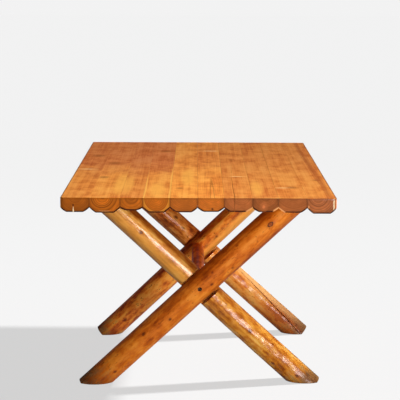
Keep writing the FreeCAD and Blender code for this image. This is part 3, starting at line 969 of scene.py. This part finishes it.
SlatTone = namedtuple("SlatTone", "light honey amber brown sap")
SLAT_TONE = SlatTone(
    stain(252, 175, 82), stain(243, 157, 67), stain(226, 131, 52), stain(198, 100, 38), stain(254, 190, 90))
RUSSET = (0.77, 0.61, 0.92, 1.0)        # what the redder stain lets through of a colour
END_GOLD = stain(190, 98, 16)
END_PINK_SHEEN = stain(176, 98, 52)
END_SAP = stain(226, 142, 42)
DARK_LINE = stain(64, 28, 8)
PALE_EDGE = stain(232, 158, 92)
UNLINED_SIDES = {6: 1, 7: 1, 8: -1}        # the side of a slat's end where the dark line along its lower outline turns pale
# A pale check in the end grain; on the last slat the same mark is a painted glint on the rounded front
# corner.
PALE_CHECK_AND_GLINT = MarkKind((stain(255, 226, 176), 1.0))
PALE_EDGE_MARK = MarkKind((PALE_EDGE, 0.75))
DARK_SPOT = MarkKind((stain(70, 30, 8), 0.8))
PALE_SPOT = MarkKind((stain(226, 130, 70), 0.6), halo=(stain(200, 110, 56), 0.4))
END_MARKS = {   # across from a slat's middle and down from its top, the size, the kind and how it is squeezed
    0: [(-0.0045, 0.045, 0.0055, PALE_CHECK_AND_GLINT, (1.7, 0.24, 0.0)),
        (-0.0050, 0.026, 0.005, DARK_SPOT, (1.0, 0.7, 0.0))],
    1: [(-0.002, 0.0455, 0.0024, PALE_EDGE_MARK, (0.07, 1.0, 0.0))],
    5: [(0.0050, 0.038, 0.005, DARK_SPOT, (0.8, 0.8, 0.0))],
    7: [(-0.0060, 0.030, 0.008, PALE_SPOT, (1.0, 0.8, 0.0))],
    # a painted glint on the rounded front corner, then a pale edge on the other side
    9: [(0.0390, 0.022, 0.0032, PALE_CHECK_AND_GLINT, (1.0, 0.11, 0.0)),
        (-0.044, 0.030, 0.004, PALE_EDGE_MARK, (1.0, 0.5, 0.0))],
}


def dimmed(colour, share):
    """A colour made darker or lighter."""
    return tuple(channel * share for channel in colour[:3]) + (1.0,)


def rim_group():
    """How far a point on a slat's sawn end lies inside the end's outline."""
    tree, given = new_group("slat rim", [], ["Across", "Depth", "Half Width", "Crown"])
    across, depth, half_width, crown = given[:4]
    beside = maths("SUBTRACT", half_width, maths("ABSOLUTE", across))
    into = maths("DIVIDE", beside, SHOULDER, clamp=True)
    bottom = times_plus(crown, into, SLAT_EDGE)
    above = times(maths("SUBTRACT", bottom, depth), 0.8)
    return end_group(tree, {"Inside": maths("MINIMUM", beside, above), "Above": above})


SLAT_RIM = rim_group()


def slat_finish(name, log, number, slat, half_width, marks):
    """Worn varnish on a planed half log: figure along the face, growth rings and stain on the ends."""
    material, tree, shader = new_finish(name, roughness=0.6, specular=0.03)
    place, skin = on_log(tree, log)
    own = split(place)
    facing = split(skin)
    grain = grow(place, SLAT_SEED + number, slat.ring, wander=0.005)
    tone = weigh(grain, Streak=0.36, Blotch=0.34, Mottle=0.18, Rings=0.12)
    planing = cloud(node(tree, "TexCoord")["Object"], (9.0, 13.0, 9.0), 3.0, 0.6)
    tone = times_plus(maths("SUBTRACT", planing, 0.5), 0.6, tone)
    shades = [dimmed(shade, slat.tone) for shade in SLAT_TONE[:4]]
    colour = ramp(tone, (0.12, 0.44, 0.72, 1.0), shades)
    colour = tint(colour, SLAT_TONE.brown, ease(grain["Fibre"], 0.35, 0.65), 0.08)
    ragged = times_plus(grain["Blotch"], 0.2, own["Z"])
    reddened = ease(ragged, -0.30, 0.25, slat.russet, slat.behind)
    colour = blend(reddened, colour, blend(1.0, colour, RUSSET, "MULTIPLY"))
    heartwood = times_plus(own["Z"], -0.009, grain["Radius"])
    sapwood = ease(heartwood, slat.sap + 0.0062, slat.sap + 0.0078)
    colour = tint(colour, SLAT_TONE.sap, sapwood, slat.sap_face)
    colour = add_marks(colour, place, marks)
    rings = times(weigh(grain, Bands=0.45, Rings=0.55), slat.figure)
    # The ends' pink is partly their own tint and partly a painted sheen, more on the slats to the right.
    pale = [gold + (pink - gold) * slat.blush for gold, pink in zip(END_GOLD, END_PINK_SHEEN)]
    pale = dimmed(pale, slat.end * 1.2)
    end_grain = blend(rings, pale, dimmed(pale, 0.25))
    end_grain = tint(end_grain, dimmed(pale, 0.45), grain["Blotch"], 0.45)
    end_grain = tint(end_grain, dimmed(pale, 0.5), grain["Mottle"], 0.45)
    end_grain = tint(end_grain, END_SAP, sapwood, 0.85)
    across = maths("ADD", own["X"], slat.pith[0])
    depth = maths("SUBTRACT", own["Y"], slat.pith[1])
    outline = {"Across": across, "Depth": depth, "Half Width": half_width, "Crown": slat.crown}
    rim = node(tree, "Group", outline, node_tree=SLAT_RIM)
    edges = (   # painted shade towards the rim and under the arris, and a darker line just inside the outline, each with what is left of the colour
        (ease(rim["Inside"], 0.014, 0.0, 0.0, 0.4), 0.4),
        (ease(depth, 0.010, 0.003, 0.0, 0.45), 0.35),
        (ease(rim["Inside"], 0.0040, 0.0008, 0.0, 0.6), 0.22),
    )
    for share, left in edges:
        end_grain = blend(share, end_grain, dimmed(pale, left))
    # A dark line along the end's lower outline, pale on some slats' sides.
    edging = DARK_LINE
    if number in UNLINED_SIDES:
        unlined = ease(times(across, UNLINED_SIDES[number]), 0.022, 0.028)
        edging = blend(unlined, DARK_LINE, PALE_EDGE)
    end_grain = blend(ease(rim["Above"], 0.0048, 0.0020), end_grain, edging)
    end_marks = []
    for x, y, *rest in END_MARKS.get(number, ()):
        end_marks.append(Mark((x - slat.pith[0], y + slat.pith[1], -HALF_LENGTH), *rest))
    end_grain = add_marks(end_grain, place, end_marks)
    sawn = ease(maths("ABSOLUTE", facing["Z"]), 0.6, 0.85)
    colour = blend(sawn, colour, end_grain)
    if 0 < number < LAST_SLAT:
        in_seam = ease(maths("ABSOLUTE", facing["X"]), 0.8, 0.95, 0.0, 0.35)
        colour = blend(in_seam, colour, DARK_LINE)
    coat = times(sawn, 0.4 if number == LAST_SLAT else 0.2)
    planed = relief(times_plus(grain["Rings"], -0.3, grain["Dimple"]), 0.0004, 0.5)
    feed(shader, {"Base Color": colour, "Coat Weight": coat, "Normal": planed})
    return material


TOP_KNOT = MarkKind(
    (stain(110, 50, 22), 0.42), (stain(146, 68, 26), 0.38), (stain(190, 92, 32), 0.35), (0.7, 1.0, 0.5))
SCUFF = MarkKind((stain(255, 224, 160), 1.0), (stain(255, 206, 130), 0.55), squeeze=(0.26, 1.25, 1.3))
EDGE_LINE = MarkKind((stain(136, 88, 54), 0.75), squeeze=(1.0, 1.0, 0.002))
LOOP = MarkKind(ring=(stain(160, 76, 24), 0.6), squeeze=(1.0, 1.0, 0.018))
STREAK = MarkKind((stain(164, 72, 28), 0.55), (stain(176, 80, 32), 0.45), squeeze=(1.0, 1.0, 0.022))
# Painted highlight: a soft golden patch on the top, near its front.
PAINTED_HIGHLIGHT = MarkKind(halo=(stain(255, 186, 84), 0.5), squeeze=(1.0, 1.0, 0.12))
SHORTER = (1.0, 1.0, 0.16)
TOP_MARKS = {   # where a mark lies on the top, its size, its kind, and any squeeze that isn't the kind's own
    0: [(-HALF_WIDTH, 0.0, 0.0085, EDGE_LINE), (-0.420, -0.089, 0.012, SCUFF),
        (-0.400, 0.300, 0.016, TOP_KNOT)],
    1: [(-0.323, 0.081, 0.016, TOP_KNOT), (-0.341, -0.297, 0.010, TOP_KNOT),
        (-0.272, -0.450, 0.014, PAINTED_HIGHLIGHT, LENGTHWISE)],
    2: [(-0.245, -0.470, 0.012, PAINTED_HIGHLIGHT, LENGTHWISE)],
    3: [(-0.134, 0.455, 0.014, TOP_KNOT), (-0.140, -0.600, 0.016, PAINTED_HIGHLIGHT, SHORTER)],
    4: [(-0.063, -0.552, 0.006, TOP_KNOT), (-0.040, -0.300, 0.014, PAINTED_HIGHLIGHT)],
    5: [(0.048, 0.461, 0.014, SCUFF), (0.046, -0.760, 0.0075, LOOP)],
    6: [(0.140, -0.270, 0.009, SCUFF), (0.129, 0.182, 0.006, TOP_KNOT)],
    7: [(0.200, -0.550, 0.012, PAINTED_HIGHLIGHT)],
    8: [(0.292, -0.540, 0.010, SCUFF), (0.323, -0.531, 0.011, TOP_KNOT)],
    9: [(HALF_WIDTH, 0.0, 0.0080, EDGE_LINE), (0.422, -0.352, 0.008, TOP_KNOT), (0.419, 0.500, 0.009, STREAK),
        (0.426, 0.000, 0.010, STREAK), (0.434, -0.500, 0.010, STREAK)],
}
for number, (slat, left, right) in enumerate(zip(SLATS, SEAMS, SEAMS[1:])):
    name = f"top_slat_{number + 1:02d}"
    piece = make_piece(name + "_log", *slat_skin(number, left, right, slat))
    if number == CRACKED_SLAT:
        carve(piece, [face_crack()])
    pith = Vector(((left + right) / 2 + slat.pith[0], 0, TABLE_TOP + slat.pith[1]))
    place = log_place(pith, (0, 1, 0), (1, 0, 0))
    marks = []
    for x, y, *rest in TOP_MARKS[number]:
        marks.append(Mark(place.inverted() @ Vector((x, y, TABLE_TOP)), *rest))
    finish = slat_finish(name + "_varnish", place, number, slat, (right - left) / 2, marks)
    fit_piece(piece, finish, name)


# Turned hardwood dowels lie blind in the seams between the slats, and the cleats' wood screws end in the
# slats' undersides, so both are seen only where a counterbore opens.
def turned_dowel(name):
    """Pale hardwood with fine grain along the dowel."""
    material, tree, shader = new_finish(name, roughness=0.6, specular=0.3)
    fibre = cloud(node(tree, "TexCoord")["Object"], (14.0, 300.0, 300.0), 3.0)
    feed(shader, {"Base Color": ramp(fibre, (0.3, 0.7), (stain(214, 178, 128), stain(184, 142, 92)))})
    return material


refinish("edge_dowels", turned_dowel("dowel_wood"))
refinish("slat_screws", plated_steel("screw_steel", stain(150, 140, 118), stain(96, 82, 60), 0.38))


# The studio is a pale floor that runs on into a pale backdrop, lit from the right and a little behind,
# with a soft light in front on the right.
PALE = 0.89             # the backdrop, as the camera sees it
AMBIENT = 0.09          # the light that it gives from all sides
MIRRORED = 0.35         # what the varnish mirrors of it, behind the table
FLOOR_GLOW = 0.635      # the light that the floor shows of its own
FLOOR_FADE = 0.03       # how much less it shows far back
FLOOR_COLOUR = 0.10     # its share of the lamps' light, as the camera sees it
FLOOR_BOUNCE = 0.19     # its share of the light that it throws up at the table
FLOOR_REACH = 40
WHITE = (1, 1, 1, 1)

world = bpy.data.worlds.new("studio")
world.use_nodes = True
bpy.context.scene.world = world
tree = world.node_tree
toward = split(node(tree, "TexCoord")["Generated"])
behind = times(ease(toward["Y"], -0.1, 0.6), ease(toward["X"], -0.7, 0.3, 0.25, 1.0))
mirrored = times_plus(behind, MIRRORED - AMBIENT, AMBIENT)
path = node(tree, "LightPath")
reflected = maths("MAXIMUM", path["Is Glossy Ray"], path["Is Transmission Ray"])
strength = node(tree, "Mix", {0: reflected, 2: AMBIENT, 3: mirrored})[0]
strength = node(tree, "Mix", {0: path["Is Camera Ray"], 2: strength, 3: PALE})[0]
feed(tree.nodes["Background"], {"Color": WHITE, "Strength": strength})

corners = [(x * FLOOR_REACH, y * FLOOR_REACH, 0) for x, y in ((-1, -1), (1, -1), (1, 1), (-1, 1))]
floor = make_piece("floor", corners, [(0, 1, 2, 3)])
table.objects.unlink(floor)
stage = bpy.data.collections.new("stage")
bpy.context.scene.collection.children.link(stage)
stage.objects.link(floor)
paper = bpy.data.materials.new("floor_paper")
paper.use_nodes = True
tree = paper.node_tree
tree.nodes.remove(tree.nodes["Principled BSDF"])
matt = node(tree, "BsdfDiffuse", {"Color": dimmed(WHITE, FLOOR_BOUNCE)})[0]
lit = node(tree, "BsdfDiffuse", {"Color": dimmed(WHITE, FLOOR_COLOUR)})[0]
away = split(node(tree, "TexCoord")["Object"])["Y"]
strength = ease(away, 0.0, 6.0, FLOOR_GLOW, FLOOR_GLOW - FLOOR_FADE)
glow = node(tree, "Emission", {"Color": WHITE, "Strength": strength})[0]
shown = node(tree, "AddShader", {0: lit, 1: glow})[0]
dim = node(tree, "Emission", {"Color": WHITE, "Strength": MIRRORED})[0]
path = node(tree, "LightPath")
mixed = node(tree, "MixShader", {0: path["Is Glossy Ray"], 1: matt, 2: dim})[0]
mixed = node(tree, "MixShader", {0: path["Is Camera Ray"], 1: mixed, 2: shown})[0]
feed(tree.nodes["Material Output"], {"Surface": mixed})
floor.data.materials.append(paper)


def add_lamp(name, kind, place, target, energy, **settings):
    """A white studio lamp, turned to a target. It lights the table and not the floor."""
    light = bpy.data.lights.new(name, kind)
    light.energy = energy
    for setting, value in settings.items():
        setattr(light, setting, value)
    lamp = bpy.data.objects.new(name, light)
    bpy.context.scene.collection.objects.link(lamp)
    lamp.location = place
    lamp.rotation_euler = (Vector(target) - Vector(place)).to_track_quat("-Z", "Y").to_euler()
    lamp.light_linking.receiver_collection = table
    return lamp


def add_panel(name, place, target, energy, width):
    """A square panel lamp."""
    return add_lamp(name, "AREA", place, target, energy, shape="RECTANGLE", size=width, size_y=width)


for cad_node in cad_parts.values():
    table.objects.link(cad_node)
KEY_PLACE = (2.76, 1.24, 2.62)
key = add_lamp("key", "SUN", KEY_PLACE, (0, 0, 0), 2.25, angle=math.radians(10))
key.visible_glossy = False
softbox = add_panel("softbox", (2.35, -4.9, 1.2), (0, 0, 0.4), 155, 1.2)
softbox.visible_glossy = False
glint = add_panel("glint", (2.3, -5.2, 1.3), (0, -0.2, 0.45), 500, 2.9)
glint.visible_diffuse = False
add_panel("overhead", (0.3, -1.0, 2.2), (0, -0.6, 0.74), 11, 0.8)
add_panel("side", (3.2, -1.2, 0.5), (0, 0, 0.35), 18, 1.2)
floor_key = add_lamp("floor_key", "SUN", KEY_PLACE, (0, 0, 0), 13.0, angle=math.radians(4))
floor_key.light_linking.receiver_collection = stage

CAMERA_PLACE = (-0.0064, -5.4341, 1.4921)
CAMERA_PAN, CAMERA_DOWN, CAMERA_ROLL = -0.139, 9.198, 0.232     # degrees


def turned(degrees, axis):
    """A turn about an axis."""
    return Matrix.Rotation(math.radians(degrees), 4, axis)


view = bpy.data.cameras.new("view")
view.sensor_width = 36.0
view.lens = 129.25
camera = bpy.data.objects.new("view", view)
bpy.context.scene.collection.objects.link(camera)
camera.location = CAMERA_PLACE
look = turned(CAMERA_PAN, "Z") @ turned(90 - CAMERA_DOWN, "X") @ turned(CAMERA_ROLL, "Z")
camera.rotation_euler = look.to_euler()
bpy.context.scene.camera = camera
bpy.context.scene.view_settings.view_transform = "Standard"
